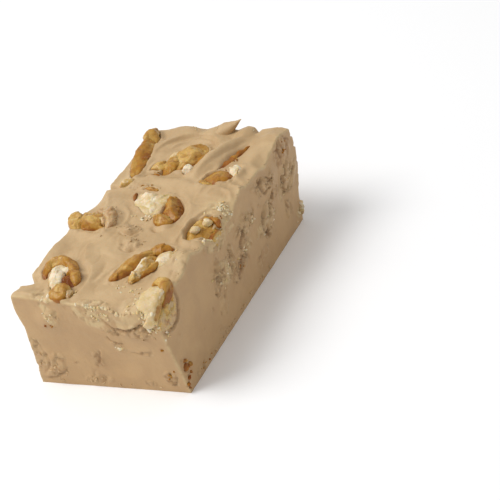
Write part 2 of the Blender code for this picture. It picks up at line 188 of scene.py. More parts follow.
NUTS["nut_front_middle"] = (
    lobe(((3.8, -37.4, 33.8), (8, -29.4, 34.4), (12.6, -21.8, 34.4)),
         (2.3, 3.7, 3.3), (1.9, 2.6, 2.3), (0.45, 0.4, 0.45), chips=5,
         breaks=(((-0.25, 0.1, 0.96), (8, -29, 36.6), 0, 0.4),)),
    lobe(((11, -24, 33.8), (14.4, -20.8, 34.5), (18.2, -21.4, 33.8)),
         (2.5, 3.3, 2.2), (1.9, 2.5, 1.9), (0.4, 0.55, 0.85)),
    lobe(((11.4, -37.6, 33.8), (12.2, -31, 34.8), (14.4, -25, 34.6)),
         (1.9, 2.7, 2), (2, 2.5, 2), (0, -0.1, 0), flesh=0.4, chips=4,
         breaks=(((-0.7, 0, 0.72), (11.4, -31, 36.3), 1, -0.25),
                 ((0.45, -0.3, 0.84), (13.2, -31, 36.8), 0.55, 0))),
    lobe(((13.4, -34.6, 33.8), (15.2, -30.4, 34.4), (16.6, -26.6, 34.2)),
         (1, 1.5, 1.1), (1.5, 1.9, 1.5), (0.3, 0.4, 0.5)),
    lobe(((15, -29, 34.3), (17.6, -25.6, 35), (20.2, -22.6, 34.6)),
         (2.2, 3, 1.9), (1.4, 1.8, 1.4), CREAMY, flesh=0.95, chips=8,
         breaks=(((0.1, -0.3, 0.95), (17.6, -25.6, 36.3), 1, 0.05),)),
)
NUTS["nut_front_right"] = (
    lobe(((23.6, -50.8, 30.4), (22.8, -43.4, 31), (22.6, -36.4, 31.2)),
         (4.8, 6.2, 4.8), (4.9, 5.8, 4.6), CREAMY, flesh=0.95, chips=3,
         breaks=(((1, 0, 0.02), (25.9, 0, 30), 0.3, -0.4), FRONT_FACE,
                 ((-0.2, -0.06, 0.98), (20.6, -43.6, 35.2), 1, 0.15))),
    lobe(((24.8, -49.2, 28), (24.4, -43.2, 27.6), (24.4, -37.4, 28.6)),
         (2.6, 3.6, 2.6), (3.6, 4.3, 3.6), (-0.9, -0.8, -0.9), chips=3,
         breaks=(((1, 0, 0.02), (26, 0, 30), 0, -0.9),)),
    lobe(((19, -37.4, 33.9), (22.8, -36.9, 34.7), (25, -39.4, 33.8), (25.4, -44, 31.2)),
         (1, 2.4, 2.4), (1.3, 2.5, 2.4), (0, 0.25, 0.5), chips=3,
         breaks=(((1, 0, 0.02), (26.2, 0, 30), 0, 0.4),)),
    lobe(((22.4, -49.4, 30.8), (23.4, -48.6, 32), (24.6, -47.8, 31)),
         (1.1, 1.5, 1.1), (1.3, 1.6, 1.3), CREAMY, flesh=1, chips=10),
)


def smooth(value):
    """A soft step: 3 t squared minus 2 t cubed, with t the value held between 0 and 1."""
    t = np.clip(value, 0.0, 1.0)
    return t * t * (3.0 - 2.0 * t)


def noise(points, size, seed, octaves=1):
    """Soft noise from -1 to 1: a random value at each corner of cubes of this size, blended by soft
    steps between them, plus half as much at half the size for each further octave."""
    corner = np.random.default_rng(seed).uniform(-1.0, 1.0, (32, 32, 32))
    total = np.zeros(len(points))
    for octave in range(octaves):
        place = points * 2.0**octave / size + 7.3 * octave
        cell = np.floor(place).astype(int)
        blend = smooth(place - cell)
        for step in np.ndindex(2, 2, 2):
            share = np.where(step, blend, 1.0 - blend).prod(axis=1)
            total += corner[tuple((cell + step).T % 32)] * share / 2.0**octave
    return total


def facet_relief(points, size, seed):
    """The relief of a broken surface. Each point lies on the plane of the nearest of scattered spots,
    about this far apart, and each plane is tilted and lifted by its own amount."""
    draw = np.random.default_rng(seed)
    low, high = points.min(axis=0) - size, points.max(axis=0) + size
    spots = draw.uniform(low, high, (int(np.prod((high - low) / size)) + 2, 3))
    lift, tilt = draw.uniform(-0.04, 0.04, len(spots)), draw.normal(0.0, 0.1, (len(spots), 3))
    step = points[:, None] - spots
    nearest = (step * step).sum(axis=2).argmin(axis=1)
    return size * lift[nearest] + (step[np.arange(len(points)), nearest] * tilt[nearest]).sum(axis=1)


def curve_through(knots, shares):
    """The points at these shares of the one polynomial curve through all the knots."""
    at = np.linspace(0.0, 1.0, len(knots))
    terms = np.polynomial.polynomial.polyfit(at, np.array(knots, float), len(knots) - 1)
    return np.polynomial.polynomial.polyval(shares, terms).T


# Random chips cut a lobe between these shares of its width, and never below the least. The sharpness is the
# power in the formula below.
CHIP_ROOM = (0.66, 0.92)
LEAST_ROOM = 0.3
FACET_SHARPNESS = 14
CREASE_DEPTH = 0.08


def lobe_skin(
    points, across, up, tone, flesh=0.0, bulges=(0.0, 0.0), ridges=(1, 0.0, 0.0), chips=6, breaks=(),
    rings=RINGS, sectors=SECTORS, seed=0,
):
    """A closed shell about a smooth curve: an ellipse at each ring, with round ends, swelling along the
    curve and ridged around it. Random facets chip it, and each break cuts it flat: along its radius, a
    point lies at (1 + sum of ratio^14)^(-1/14), where each ratio is how far it would pass that facet.
    Creases follow the zero lines of soft noise."""
    draw = np.random.default_rng(seed)
    along = 0.5 - 0.5 * np.cos(np.linspace(0.0, math.pi, rings + 2))
    centre = curve_through(points, along)
    tangent = np.gradient(centre, axis=0)
    tangent /= np.linalg.norm(tangent, axis=1)[:, None]
    side = np.cross(tangent, (0.0, 0.0, 1.0))
    side /= np.linalg.norm(side, axis=1)[:, None]
    rise = np.cross(side, tangent)
    thirds = np.linspace(0.0, 1.0, 3)
    taper = np.sqrt(1.0 - np.abs(2.0 * along - 1.0) ** 3)
    taper = taper * (1.0 + bulges[1] * np.cos(2.0 * math.pi * bulges[0] * along + seed))
    angle = 2.0 * math.pi * np.arange(sectors) / sectors
    crest = 1.0 + ridges[1] * np.cos(ridges[0] * (angle + ridges[2] * along[:, None]) + seed)
    half_width = (np.interp(along, thirds, across) * taper)[:, None] * np.cos(angle) * crest
    half_height = (np.interp(along, thirds, up) * taper)[:, None] * np.sin(angle) * crest
    out = side[:, None] * half_width[:, :, None] + rise[:, None] * half_height[:, :, None]
    facets = []
    for turn, lift, lean in draw.normal(size=(chips, 3)):
        length = math.sqrt(turn * turn + lift * lift + lean * lean)
        passed = taper[:, None] * (turn * np.cos(angle) + lift * np.sin(angle)) / length
        room = draw.uniform(*CHIP_ROOM) - lean / length * (2.0 * along[:, None] - 1.0)
        facets.append((passed / np.maximum(room, LEAST_ROOM), flesh, draw.uniform(-0.25, 0.25), 0.0))
    for normal, point, shown, own_tone in breaks:
        normal = np.array(normal) / np.linalg.norm(normal)
        room = (np.array(point) - centre) @ normal
        facets.append(((out @ normal) / np.maximum(room, LEAST_ROOM / 2)[:, None], shown, own_tone, 1.0))
    powers = np.array([np.clip(facet[0], 0.0, 20.0) ** FACET_SHARPNESS for facet in facets])
    weight = powers / (1.0 + powers.sum(axis=0))
    kept = (1.0 + powers.sum(axis=0)) ** (-1.0 / FACET_SHARPNESS)
    tones = np.repeat(np.interp(along, thirds, tone)[:, None], sectors, axis=1)
    fleshes = np.full(tones.shape, float(flesh))
    for share, (_, shown, own_tone, whole) in zip(weight, facets):
        tones += share * (own_tone - whole * tones)
        fleshes += share * (shown - fleshes)
    ends = [0, -1]
    inner = (centre[:, None] + out * kept[:, :, None])[1:-1].reshape(-1, 3)
    shell = np.concatenate([inner, centre[:1], centre[-1:]])
    away = shell - np.append(np.repeat(centre[1:-1], sectors, axis=0), centre[ends], axis=0)
    away /= np.linalg.norm(away, axis=1)[:, None] + 1e-6
    girth = min(1.0, min(across) / 1.6)
    wave = noise(shell, 3.0, seed + 1, 2)
    furrow = np.exp(-((wave / 0.1) ** 2))
    bent = shell + np.stack([noise(shell, 2.0, seed + 4 + axis, 2) for axis in range(3)], axis=1) * 0.5
    rough = 0.12 * noise(shell, 2.4, seed + 2, 2) + facet_relief(bent, 2.6, seed) - CREASE_DEPTH * furrow
    shell = shell + away * (girth * rough)[:, None]
    tones = np.append(tones[1:-1].ravel(), tones[ends, 0])
    fleshes = np.append(fleshes[1:-1].ravel(), fleshes[ends, 0])
    return shell, tones + 0.25 * wave, fleshes, furrow


def shell_faces(rings, sectors, first=0):
    """The faces of a closed shell: quads between its rings, and a fan to the point at each end."""
    ring, sector = np.divmod(np.arange((rings - 1) * sectors), sectors)
    following = ring * sectors + (sector + 1) % sectors
    here = ring * sectors + sector
    quads = np.stack([following, here, here + sectors, following + sectors], axis=1) + first
    j = np.arange(sectors)
    k = (j + 1) % sectors
    top = (rings - 1) * sectors
    start = np.stack([np.full(sectors, rings * sectors), j, k], axis=1) + first
    end = np.stack([np.full(sectors, rings * sectors + 1), top + k, top + j], axis=1) + first
    return [*quads.tolist(), *start.tolist(), *end.tolist()]


def joined(shells, rings, sectors):
    """The points, faces and marks of several shells as one."""
    step = rings * sectors + 2
    faces = [face for number in range(len(shells)) for face in shell_faces(rings, sectors, number * step)]
    points, *marks = (np.concatenate(part) for part in zip(*shells))
    return points, faces, dict(zip(("tone", "flesh", "furrow"), marks))


def add_piece(name, points, faces, marks, material, slot):
    """A smooth piece from points in millimetres, with one number at each point for each named mark."""
    mesh = bpy.data.meshes.new(name)
    mesh.from_pydata(((points + PLACE) * MM).tolist(), [], faces)
    mesh.shade_smooth()
    mesh.materials.append(material)
    for mark, values in marks.items():
        layer = mesh.attributes.new(mark, "FLOAT", "POINT")
        layer.data.foreach_set("value", np.asarray(values, np.float32))
    piece = bpy.data.objects.new(name, mesh)
    bpy.context.scene.collection.objects.link(piece)
    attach(piece, "root")
    return piece


class Link:
    """A socket of a shader. Sums and products on it add Math nodes, so that a formula reads as one."""

    def __init__(self, tree, socket):
        self.tree = tree
        self.socket = socket

    def node(self, kind, settings, sockets, output=0):
        """A new node: its settings first, then a value or a link for each of its sockets."""
        made = self.tree.nodes.new("ShaderNode" + kind)
        for key, value in settings.items():
            setattr(made, key, value)
        for key, value in sockets.items():
            if isinstance(value, Link):
                self.tree.links.new(value.socket, made.inputs[key])
            else:
                made.inputs[key].default_value = value
        return Link(self.tree, made.outputs[output])

    def math(self, operation, *values):
        return self.node("Math", {"operation": operation}, dict(enumerate(values)))

    def __add__(self, other):
        return self.math("ADD", self, other)

    def __sub__(self, other):
        return self.math("SUBTRACT", self, other)

    def __rsub__(self, other):
        return self.math("SUBTRACT", other, self)

    def __mul__(self, other):
        return self.math("MULTIPLY", self, other)

    __radd__ = __add__
    __rmul__ = __mul__

    def step(self, low, high):
        """A soft step from 0 to 1 as this goes from low to high."""
        settings = {"interpolation_type": "SMOOTHSTEP"}
        return self.node("MapRange", settings, {0: self, 1: low, 2: high, 3: 0.0, 4: 1.0})

    def mix(self, first, second):
        """The first colour where this is 0, and the second where it is 1."""
        first = (*first, 1.0) if isinstance(first, tuple) else first
        second = (*second, 1.0) if isinstance(second, tuple) else second
        return self.node("Mix", {"data_type": "RGBA"}, {0: self, 6: first, 7: second}, 2)

    def noise(self, millimetres, detail=2.0, distortion=0.0):
        """Noise of this grain at the object's own coordinates, from 0 to 1."""
        sockets = {"Vector": self, "Scale": 1.0 / (millimetres * MM), "Detail": detail}
        return self.node("TexNoise", {}, {**sockets, "Distortion": distortion})

    def vein(self, millimetres, width):
        """Thin wandering lines, 1 in their middle: where noise of this grain is near a half."""
        gap = self.noise(millimetres, 3.0, 1.0) - 0.5
        return 1.0 - self.math("ABSOLUTE", gap).step(0.0, width)

    def mark(self, name):
        """The numbers that the piece carries under this name."""
        return self.node("Attribute", {"attribute_name": name}, {}, 2)

    def bump(self, height, millimetres):
        """The normal of a relief this many millimetres deep."""
        return self.node("Bump", {}, {"Height": height, "Distance": millimetres * MM})


def new_finish(name, constants):
    """A material with these constants on its Principled shader, its place link and a way to feed sockets."""
    material = bpy.data.materials.new(name)
    material.use_nodes = True
    tree = material.node_tree
    shader = tree.nodes["Principled BSDF"]
    for key, value in constants.items():
        shader.inputs[key].default_value = value
    place = Link(tree, tree.nodes.new("ShaderNodeTexCoord").outputs["Object"])

    def feed(**sockets):
        for key, link in sockets.items():
            tree.links.new(link.socket, shader.inputs[key.replace("_", " ")])

    return material, place, feed


# Nut skin by its tone, each with the tone at which it is reached, and the flesh.
SKIN_COATED = (0.530, 0.365, 0.190)
SKIN_COLOURS = (
    (-0.05, (0.590, 0.380, 0.115)),
    (0.35, (0.460, 0.250, 0.052)),
    (0.65, (0.400, 0.185, 0.022)),
    (1.05, (0.290, 0.100, 0.012)),
    (1.4, (0.170, 0.042, 0.002)),
)
VEIN_AND_CREASE_SHADE = (0.290, 0.115, 0.030)
FLESH_CREAM = (0.640, 0.490, 0.280)
FLESH_YELLOW = (0.590, 0.430, 0.190)
FLESH_WHITE = (0.800, 0.690, 0.520)


def nut_finish():
    """Nut skin goes from coated through gold and brown to dark amber by its tone, darker along its veins and
    in its furrows, where the darkening is partly the skin's own and partly painted shade in the creases, with
    an oily gloss. Flesh is cream with yellow clouds, and dry where it broke."""
    constants = {
        "Subsurface Weight": 0.22,
        "Subsurface Radius": (1.0, 0.5, 0.2),
        "Subsurface Scale": 0.0014,
        "Specular IOR Level": 0.22,
    }
    material, place, feed = new_finish("nut_skin_and_flesh", constants)
    furrow = place.mark("furrow")
    mottle = place.noise(2.6, 4.0, 0.6) - 0.5
    tone = place.mark("tone") + mottle * 1.2
    skin = SKIN_COATED
    reached = -0.5
    for full, colour in SKIN_COLOURS:
        skin = tone.step(reached, full).mix(skin, colour)
        reached = full
    # Partly painted shade: the skin darkens along its veins, which is its own colour, and in the furrows'
    # creases, which is painted shade.
    skin = (place.vein(1.3, 0.03) * 0.3 + furrow * 0.6).mix(skin, VEIN_AND_CREASE_SHADE)
    meat = place.noise(2.4, 3.0).step(0.4, 0.65).mix(FLESH_CREAM, FLESH_YELLOW)
    white = (0.1 - tone).step(0.0, 0.35) * 0.8 + place.noise(0.8, 2.0).step(0.55, 0.72) * 0.4
    meat = (furrow * 0.2).mix(white.mix(meat, FLESH_WHITE), FLESH_YELLOW)
    fleshy = (place.mark("flesh") + (place.noise(1.1, 3.0) - 0.5) * 0.7).step(0.4, 0.6)
    relief = place.noise(0.8, 4.0) + place.noise(2.0, 2.0) * 0.6
    feed(
        Base_Color=fleshy.mix(skin, meat),
        Roughness=0.32 + fleshy * 0.3 + mottle * 0.5,
        Normal=place.bump(relief, 0.16),
    )
    return material


nut_material = nut_finish()
for nut_number, (name, lobes) in enumerate(NUTS.items()):
    shells = [lobe_skin(**one, seed=100 + 10 * nut_number + number) for number, one in enumerate(lobes)]
    points, faces, marks = joined(shells, RINGS, SECTORS)
    # Painted shade: the skin's tone darkens towards and below the fudge's level.
    marks["tone"] += FLANK_SHADE * smooth((SEAT_LEVEL + 1.0 - points[:, 2]) / 1.2)
    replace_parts(add_piece(name + "_shell", points, faces, marks, nut_material, "nut"), name)

# --- The fudge bar ---------------------------------------------------------------------------------
# Cooled butter fudge, poured over nuts and cut with a knife. Its top set in soft folds, and its cut
# sides are smooth where the knife ran clean and torn where it dragged pieces of nut along.

# The bar's width, length and height, the cells of its mesh each way, the lines of the mesh beside its edges,
# how round these are, and how far each corner (right, back, up) is shifted.
BAR = np.array((52.0, 96.3, 34.2))
CELLS = (128, 238, 82)
EDGE_LINES = (0.0, 0.22, 0.5, 0.85)
EDGE_ROUND = 0.6
CORNER_SHIFTS = {
    (0, 0, 0): (-0.6, -0.9, 0.0),
    (1, 0, 0): (0.8, 2.3, 0.0),
    (0, 1, 0): (0.4, -1.2, 0.0),
    (1, 1, 0): (-0.8, -1.5, 0.0),
    (0, 0, 1): (0.2, 0.2, -0.1),
    (1, 0, 1): (-0.5, -1.5, -1.3),
    (0, 1, 1): (0.7, 0.6, 0.0),
    (1, 1, 1): (0.6, 2.0, 1.3),
}
# Soft swells of the top: centre, two half-axes, turn in degrees, height. Hollows have a negative height.
TOP_SWELLS = (
    (-8, -20, 14, 15, 0, 1.3), (-24, -23, 6, 12, 0, 1.2), (-16, 0, 7, 11, 20, 1.2),
    (8.2, 31, 5.5, 19, -20, 2.8), (-15, 35, 7, 13, 0, 1.1), (-13, 47, 9, 6, 0, 1.8), (1, 48, 6, 5, 0, 1.4),
    (12, 47, 5, 6, 0, 1.8), (22, 38, 7, 18, 0, 0.9), (19, 7, 8, 9, 0, 0.9), (20, -25, 8, 9, 0, 1.6),
    (6, -42, 14, 7, 0, 0.6), (-3.4, -11.5, 5, 4.2, -20, 1.5), (1.4, -18, 4.5, 2.6, -25, 1.2),
    (-11.5, -6.5, 4.5, 6, -30, 1.2), (-21, -46, 6, 3, 0, 0.8), (-13, 13, 6, 3, 0, 0.6),
    (4.6, 32, 2, 7, -8, -1.2), (14.6, 33, 2.4, 9.5, -20, -1.6), (23.8, -8, 4.4, 8.6, 10, -1.3),
    (27.5, 3, 5, 4.5, 0, -2.8), (27.5, -3, 5, 6, 0, -3.6), (27.5, -8.5, 5, 6, 0, -3.6),
    (24.5, -24, 7, 6.5, 0, 2), (26.5, 29.5, 5, 5, 0, -1.9), (26, 42, 8, 7, 0, 1.5),
    (25, 12, 6, 4.5, 0, 1.3), (-10.6, -39.5, 3.4, 3, 0, -1.2), (5.4, -9.4, 3.4, 2, -35, -1.2),
    (15.5, 50, 1.4, 5, 0, -1.8), (-26, 12.4, 7, 1.5, 0, -3.4), (-26, 5, 4, 8, 0, -1.6),
    (-26, -39.6, 4.4, 3.6, 0, -3.4), (13.5, -50, 4, 3, 0, -1.8), (19.4, 24, 3, 3.4, 0, -1),
    (26.8, 51.4, 4, 2.6, 0, -1.8),
)
# Folds of the top, each along a curve through its points: height, and how wide it is on its left and right.
TOP_FOLDS = (
    (((-22, 16.5), (-10, 16.4), (1, 15.6), (11, 12.6), (21, 12.6)), 1.3, 2.4, 3.2),
    (((4.6, 18), (7.2, 26), (10.2, 35), (13.4, 44)), 1, 1.2, 2.4),
    (((-17, 32), (-13.5, 40), (-6, 44.2), (1, 42.8), (5.2, 38.5), (6.2, 34)), 1.5, 3.2, 0.4),
    (((-12, 35), (-9, 40), (-3, 41.6), (2.8, 39.6)), 0.7, 1.3, 0.4),
    (((14.5, 8.5), (18, 12), (22.5, 10.4), (24.5, 6)), 0.6, 0.9, 0.5),
    (((12, 6), (15, 14.5), (23.5, 14), (26, 8)), 0.6, 1.2, 0.6),
    (((10.5, 9.5), (13, 17), (20, 19), (25.5, 15)), 0.5, 1.2, 0.6),
    (((15.6, -16.5), (16.2, -9), (17.4, -1.5), (21, 2.6)), 1.1, 2, 0.5),
    (((18, -15.4), (21.6, -15.8), (25.6, -15.4)), 1.2, 0.5, 2.4),
    (((-9.5, -29), (-4.6, -34), (-3, -41), (-4.6, -47)), 1.1, 2.6, 0.6),
    (((-13.5, -20), (-11.5, -26), (-8.2, -31)), 0.8, 2.4, 0.4),
    (((-26, -14.8), (-19, -14.8), (-12, -15.2), (-9.8, -10)), 0.7, 0.6, 2),
    (((-0.5, -38.5), (2, -30), (7, -22.5), (11.6, -17)), 0.5, 1.8, 0.6),
    (((13, 14), (19.8, 14.6), (21.6, 20), (19.4, 28)), 0.7, 0.8, 1.6),
    (((13.2, -5.6), (12.8, 1.5), (9, 7), (4, 10.6)), 0.6, 0.6, 1.8),
    (((-25.5, -46.4), (-20, -47), (-15, -46.6)), 0.5, 0.7, 0.7),
    (((-8.5, -14), (-7, -8), (-8, -3), (-12.5, 1)), 0.6, 0.8, 0.7),
    (((-6.5, -12.5), (-2.5, -14.2), (1, -11)), -1.3, 0.6, 0.5),
    (((-5.6, -7.4), (-2.4, -8.2), (0.6, -6.6)), -0.8, 0.5, 0.5),
    (((-2, -20.2), (1.5, -21.6), (5.5, -19.2)), -0.9, 0.5, 0.5),
    (((6, 20), (9, 27), (12.2, 34), (14.8, 42)), -0.5, 0.6, 0.8),
    (((-23.5, 9), (-19.5, 3), (-17, -2)), 0.4, 0.9, 0.6),
    (((-3, -27), (-1.5, -34), (-2.5, -40)), -0.4, 0.8, 0.8),
    (((-6, -23), (-1, -25), (4, -24)), 0.4, 1.4, 0.7),
)
# A peak that the spoon pulled up: points of its curve, half-widths and heights.
PEAK = lobe(((-2.6, 46.4, 33.4), (3.6, 47.6, 35.6), (10.2, 48.7, 39.4)), (4.4, 3.2, 0.4), (3, 2.6, 0.3), PALE)
# How far the fudge laps up around a nut, and how far it sinks below one.
NUT_RIM = 0.9
NUT_BED = 2.0
# How deep below the skin the swells of the top and of the sides reach.
TOP_REACH = 9.0
SIDE_REACH = 7.0
# Broad swells of the sides: place along the side and height up, two half-axes, turn, how far out.
SIDE_SWELLS = {
    "right": (
        (28, 28, 10, 6, 0, 0.9), (23, 17, 9, 6, 0, 0.8), (9, 24, 8, 6, 0, 0.8), (-10, 19, 9, 8, 0, 0.7),
        (38, 18, 6, 7, 0, -0.9), (41, 31, 6, 5, 0, 0.7),
    ),
    "left": (
        (-36, 22, 9, 9, 0, 0.8), (-12, 15, 10, 8, 0, 0.7), (10, 24, 9, 7, 0, -0.8), (30, 14, 11, 9, 0, 0.8),
        (-47, 30, 3.6, 10, 0, 1.6), (-39.6, 34, 3.6, 7, 0, -2.4),
    ),
    "front": (
        (15, 31, 9, 4, 0, 0.7), (14, 24, 12, 6, 0, 0.4), (-14, 26, 7, 6, 0, 0.7), (-19, 8, 9, 8, 0, 0.6),
        (6, 10, 8, 6, 0, -0.5),
    ),
    "back": (
        (-12, 20, 10, 8, 0, 0.8), (13, 24, 14, 12, 0, 0.8), (26, 23, 12, 15, 0, 3), (-22, 10, 9, 9, 0, 0.9),
    ),
}
# Torn patches, where pieces of nut lie just below the skin: place along and up, two half-axes, turn, relief,
# how much cream shows, how much brown. They are made of lumps about this wide, stretched along a streak.
LUMP = 2.6
STREAK = np.array((0.45, 0.89))
STRETCH = 0.55
TORN_PATCHES = {
    "right": (
        (-44, 8.8, 2.2, 3.2, 20, 0.4, 0, 1), (-45, 3, 1.6, 1.3, 0, 0.4, 0, 1),
        (-36, 1.6, 4.5, 1.8, 0, 0.5, 0, 0.5), (-41.5, 17.5, 2, 1.4, 0, 0.2, 0.2, 0),
        (-29, 11.5, 1.8, 1, 0, 0.2, 0, 0.2), (-21.8, 13, 1.3, 1.1, 0, 0.4, 0, 0.5),
        (-15, 18, 2.4, 4.2, -15, 1.1, 0.1, 0.5), (-10, 19, 5.2, 4.6, 10, 0.9, 0.8, 0.1),
        (-5, 22, 3, 3, 0, 0.8, 0.3, 0.3), (-14.5, 9.8, 3.4, 3.4, 0, 0.5, 0.2, 0.2),
        (-1, 14.5, 5.2, 3.8, 15, 1.3, 0.1, 0.9), (5.5, 17.5, 4.6, 3.2, 0, 1, 0.4, 0.3),
        (9.5, 24.5, 6.6, 3.2, 0, 1, 0.3, 0.5), (26, 28.4, 7.5, 3.6, -5, 1.1, 0.1, 0.5),
        (22, 17.4, 7.5, 4, 20, 1, 0.5, 0.3), (22, 11.8, 2.8, 2.2, -30, 1.3, 0, 0.9),
        (42, 19.6, 5, 6.2, 0, 1.2, 0.3, 0.3), (41.5, 31, 4.8, 5, 0, 0.6, 0, 1),
        (-5, 30.5, 10, 3.2, 0, 0.4, 1, 0.1), (15, 8, 5.5, 2.8, 0, 0.6, 0.2, 0.3),
        (38.5, 11, 3, 3.2, 0, 0.5, 0.1, 0.2), (-12, 26, 2, 1.6, 0, 0.4, 0, 0.4),
        (-20, 4, 3, 1, -30, 0.3, 0, 0.3), (47.5, 4, 3.5, 2.6, 0, 0.7, 0.6, 0.2),
        (31, 21.5, 3, 2.4, 0, 0.6, 0, 0.4),
    ),
    "front": (
        (-13.6, 27.8, 3.2, 3.6, -25, 0.5, 1, 0), (-11.4, 27.8, 0.8, 2.4, -25, 0.2, 0, 1),
        (-15, 24, 2.2, 1.2, 0, 0.25, 0, 0.9), (2, 29.5, 6, 3.6, 0, 0.3, 1, 0.1),
        (15.5, 29.6, 8, 3.4, 0, 0.12, 0.7, 0), (14, 24.4, 8.5, 1.8, -3, 0.7, 0.1, 0.3),
        (19.6, 25.6, 3.4, 2.8, 0, 0.9, 0.2, 0.3), (7.2, 19.4, 2, 0.7, 12, 0.9, 0, 1),
        (8, 17.4, 1.9, 1.4, 0, 0.3, 1, 0), (23.4, 18.5, 0.8, 0.9, 0, 0.2, 0, 1),
        (-1.8, 12, 1.4, 2.8, 10, 0.4, 0.1, 0.7), (-2.8, 9, 1, 0.7, 0, 0.3, 0, 0.8),
        (-20.5, 8.5, 5.6, 4.6, 20, 0.45, 0.2, 0.3), (-5, 3, 5.6, 1.8, 5, 0.4, 0.2, 0.2),
        (22, 5.5, 2.6, 3, 0, 0.6, 0.2, 0.8), (20.6, 27, 2.4, 1.8, 0, 0.6, 0.1, 0.5),
        (17, 24, 1.6, 1.2, 0, 0.6, 0.4, 0.5), (16.5, 15.8, 2.8, 1.2, 0, 0.3, 0.05, 0.4),
        (-11, 9.4, 1.4, 0.5, 10, 0.4, 0, 0.8), (14.5, 3, 2.2, 1.1, 0, 0.4, 0.1, 0.5),
        (-24.5, 15, 2.2, 2.6, 0, 0.5, 0.5, 0.3),
    ),
    "top": (
        (-3, -11, 4, 3, -20, 0.5, 0, 0.2), (1, -19, 4, 2.4, -25, 0.5, 0, 0.1),
        (-11, 12, 5, 2, 0, 0.5, 0.3, 0.4), (-10, 19.4, 4.4, 2, 0, 0.7, 0.1, 0.5),
        (-15, -6.5, 4, 3, 0, 0.5, 0.2, 0.1), (18.4, 22.4, 3, 4, 0, 0.8, 0.2, 0.3),
        (4, -48, 6, 1.8, 0, 0.7, 0.8, 0.1), (24, -27, 2.6, 6, 0, 0.4, 0.5, 0),
        (22, 1.6, 5, 3, 20, 0.5, 0.9, 0), (0, -4.4, 3, 1.6, 0, 0.5, 0.4, 0.1),
        (-16, -46, 4, 2.4, 0, 0.5, 0.6, 0.1), (17, -46, 3, 2.4, 0, 0.5, 0.6, 0.1),
    ),
}
# Cracks of the sides, each along a curve of places (along, up): how deep and how wide. They stray by this
# much, and the fudge on the left of a crack stands out as a lip, which is this share of its depth.
CRACK_STRAY = 0.3
LIP = 0.55
SIDE_CRACKS = {
    "right": (
        (((40.8, 35), (39.4, 32), (40.6, 28)), 0.8, 0.4),
        (((45, 31.8), (45.2, 29), (44.6, 26.4)), 0.5, 0.35),
        (((39.2, 24.6), (38.6, 21), (38.8, 17.6), (42, 15.4)), 1.1, 0.35),
        (((44.4, 19.2), (44.2, 21.6), (41.8, 24)), 0.6, 0.35),
        (((31.4, 30.4), (30.4, 27.4), (30, 24.6)), 0.6, 0.35),
        (((23.4, 32), (23, 28.8), (25.4, 24.8)), 0.8, 0.4),
        (((37.8, 14.6), (37.4, 11.4), (39.4, 10.4)), 0.7, 0.35),
        (((21.4, 21.4), (18.2, 17.6), (18.6, 14)), 0.9, 0.45),
        (((20, 15.2), (20.8, 13), (22, 10)), 1.1, 0.5),
        (((8.4, 25.4), (4.2, 21.6), (2.2, 18.2)), 0.8, 0.4),
        (((2.8, 16.6), (0.2, 13.6), (-4.2, 11.6)), 1.1, 0.5),
        (((8.6, 20), (6.2, 17.4), (6.2, 12)), 0.7, 0.4),
        (((-14.2, 23.8), (-14.8, 18.8), (-15.6, 14.6)), 0.8, 0.45),
        (((-11, 15.2), (-14, 11.4)), 0.6, 0.4),
        (((-3.2, 18.4), (-3.8, 16.2), (-5.6, 15.6)), 0.7, 0.4),
        (((15, 27.4), (15.6, 25), (13, 24.8)), 0.5, 0.35),
        (((-36.8, 33.6), (-36.8, 28.2), (-39.8, 24.2), (-44.2, 23.4), (-48.4, 24.8)), 0.9, 0.35),
    ),
    "front": (
        (((5.4, 29.6), (8.4, 26.4), (13.4, 25.6), (19.3, 28), (24.6, 28.8)), 1.1, 0.45),
        (((-0.2, 16.2), (-1.2, 12.1), (-3, 8.4)), 0.7, 0.4),
        (((4.8, 22.2), (6.9, 19.8), (10, 19.8)), 0.9, 0.4),
        (((11, 16.2), (15.2, 15.8), (20.4, 17.8)), 0.4, 0.35),
        (((-21.6, 13.2), (-20.4, 8.9), (-24.4, 3.6)), 0.6, 0.4),
        (((-24.8, 2), (-19.5, 3.6), (-14.4, 7.8)), 0.7, 0.45),
        (((-4, 7.2), (-7.2, 3)), 0.4, 0.4),
        (((17, 26), (17.4, 23.4), (20.6, 22.6)), 0.6, 0.4),
    ),
}
# The hidden sides are torn as the visible ones are, in mirror image. The back's right end is notched.
for seen, hidden in (("right", "left"), ("front", "back")):
    TORN_PATCHES[hidden] = tuple(
        (-along, up, wide, high, -degrees, *rest)
        for along, up, wide, high, degrees, *rest in TORN_PATCHES[seen]
    )
    SIDE_CRACKS[hidden] = tuple(
        (tuple((-along, up) for along, up in knots), *rest) for knots, *rest in SIDE_CRACKS[seen][:-1]
    )
SIDE_CRACKS["back"] += (
    (((28.0, 32.6), (24.0, 31.8), (19.0, 31.0)), 1.2, 0.5),
    (((28.0, 28.2), (24.0, 27.2), (20.0, 27.6)), 1.1, 0.5),
    (((28.0, 22.0), (24.0, 21.4), (21.0, 22.6)), 0.7, 0.5),
)
# Creamier and browner places of the top: centre, two half-axes, turn, cream, brown. The brown behind the back
# middle nut at (3, 39.5) and beside the front left nut at (-8, -41) is painted shade.
TOP_TINTS = (
    (-7, 12.5, 6, 2.4, 0, 0.3, 0.15), (-20, 15.5, 3, 3, 0, 0.7, 0.1), (22, 4, 7, 4, 20, 0.9, 0),
    (27, -4, 4, 8, 0, 0.8, 0.1), (4, -50, 8, 3, 0, 0.8, 0.1), (-10, 20, 4, 2, 0, 0.1, 0.3),
    (-2.5, -12, 3, 2, -20, 0, 0.3), (-8, -41, 4, 4, 0, 0.1, 0.2), (-18, -12, 8, 3, 0, 0.4, 0),
    (19, -30, 6, 4, 0, 0.4, 0), (-8, 43, 8, 1.6, 15, 0.2, 0.15), (16, -48, 6, 3, 0, 0.3, 0),
    (14, 25, 2.4, 4, 0, 0, 0.35), (3, 39.5, 4.4, 1.6, -20, 0, 0.3),
)


